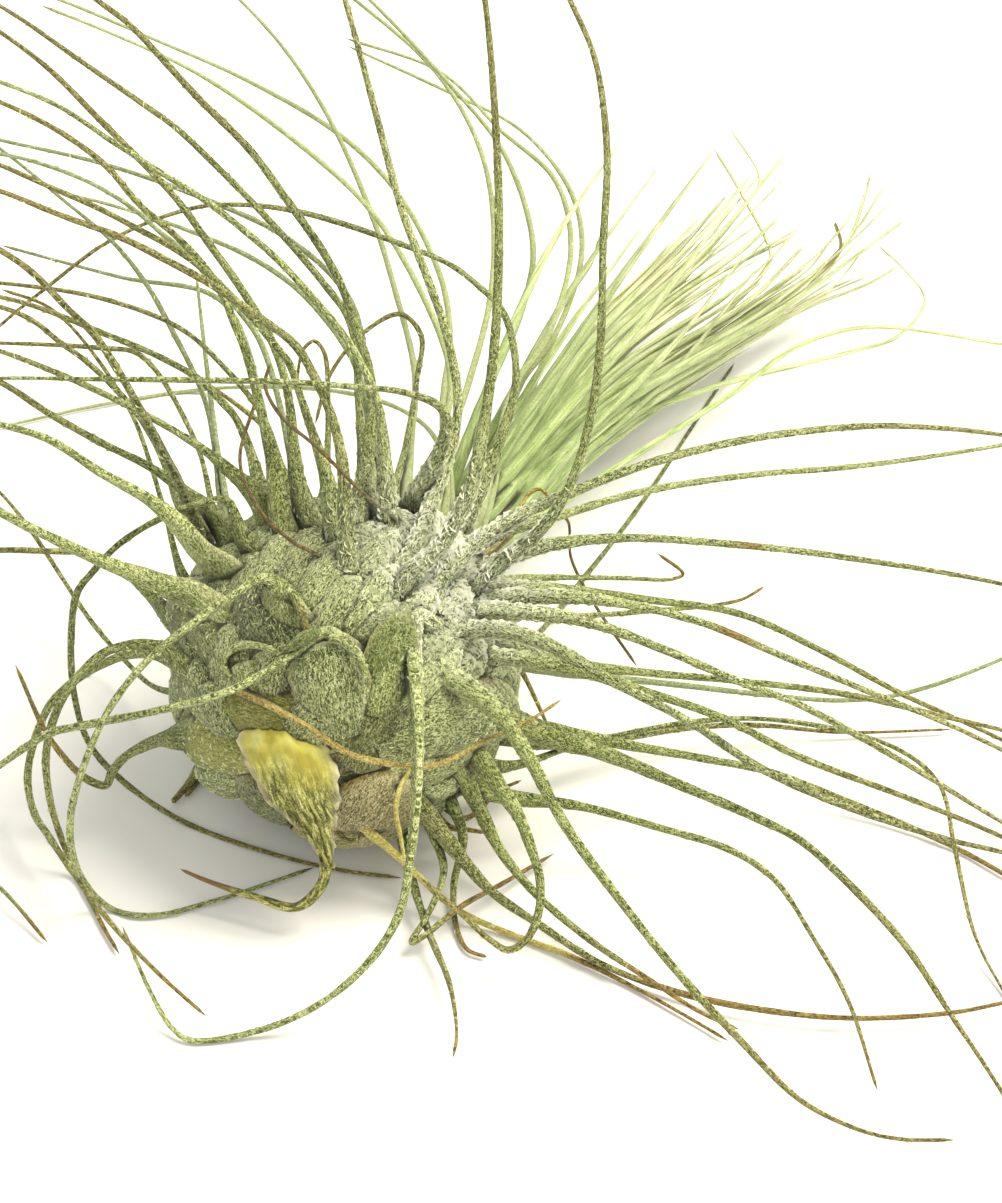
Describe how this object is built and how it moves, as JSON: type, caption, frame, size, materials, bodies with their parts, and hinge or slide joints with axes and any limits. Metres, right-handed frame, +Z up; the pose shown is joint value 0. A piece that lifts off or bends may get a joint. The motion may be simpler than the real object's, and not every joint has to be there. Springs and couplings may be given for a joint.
{
  "type": "air plant",
  "caption": "Thread-leaved air plant lying on its side: a bulb of overlapping silvery leaf bases, long arching thread leaves and a pale heart bundle.",
  "frame": {"origin": "the flat spot under the bulb where the plant rests on the table, below the bulb's centre", "axes": "+Z up, the crown of the plant points away along +Y and a little along +X"},
  "size_m": [0.1147, 0.1324, 0.0808],
  "materials": {
    "silver_leaf": "grey-green leaf skin under a nap of silvery scales",
    "green_leaf": "matte olive green leaf with sparse silvery scales",
    "olive_leaf": "matte yellow-olive leaf",
    "pale_leaf": "pale green leaf with silvery scales",
    "yellow_leaf": "yellowed dying leaf, satin",
    "torn_leaf": "thin yellow-green leaf base, satin inside, torn edge",
    "straw_leaf": "dry straw-coloured papery leaf",
    "brown_leaf": "dead brown leaf thread, matte",
    "heart_leaf": "pale yellow-green young leaves, slightly translucent"
  },
  "bodies": {
    "root": {"bulb": "silver_leaf", "front_loop_1": "pale_leaf", "front_loop_2": "pale_leaf", "front_drop": "pale_leaf", "torn_sheath": "torn_leaf", "left_loop_1": "green_leaf", "left_loop_2": "green_leaf", "upper_loop": "green_leaf", "torn_left_leaf": "green_leaf", "folded_leaf": "pale_leaf", "left_bright_leaf": "pale_leaf", "left_broad_leaf": "pale_leaf", "left_flat_leaf": "green_leaf", "left_arch_1": "olive_leaf", "left_arch_2": "green_leaf", "left_arch_3": "green_leaf", "upper_left_1": "green_leaf", "upper_left_2": "green_leaf", "upper_left_3": "pale_leaf", "upper_left_4": "green_leaf", "upper_left_5": "green_leaf", "upper_left_6": "green_leaf", "upper_left_7": "olive_leaf", "upper_left_8": "green_leaf", "left_arch_4": "green_leaf", "left_arch_5": "green_leaf", "upright_1": "green_leaf", "upright_2": "silver_leaf", "upright_3": "green_leaf", "right_arch_1": "silver_leaf", "right_arch_2": "pale_leaf", "right_arch_3": "silver_leaf", "right_arch_4": "silver_leaf", "right_arch_5": "silver_leaf", "right_arch_6": "silver_leaf", "right_arch_7": "green_leaf", "right_arch_8": "green_leaf", "right_arch_9": "green_leaf", "right_low_1": "green_leaf", "right_low_2": "green_leaf", "right_low_3": "green_leaf", "right_low_4": "green_leaf", "right_low_5": "olive_leaf", "right_low_6": "green_leaf", "low_loop": "green_leaf", "yellow_low_leaf": "yellow_leaf", "dry_strip": "straw_leaf", "dry_thread_1": "brown_leaf", "dry_thread_2": "brown_leaf", "dry_thread_3": "brown_leaf", "dry_strip_2": "yellow_leaf", "heart": "heart_leaf"}
  },
  "joints": []
}
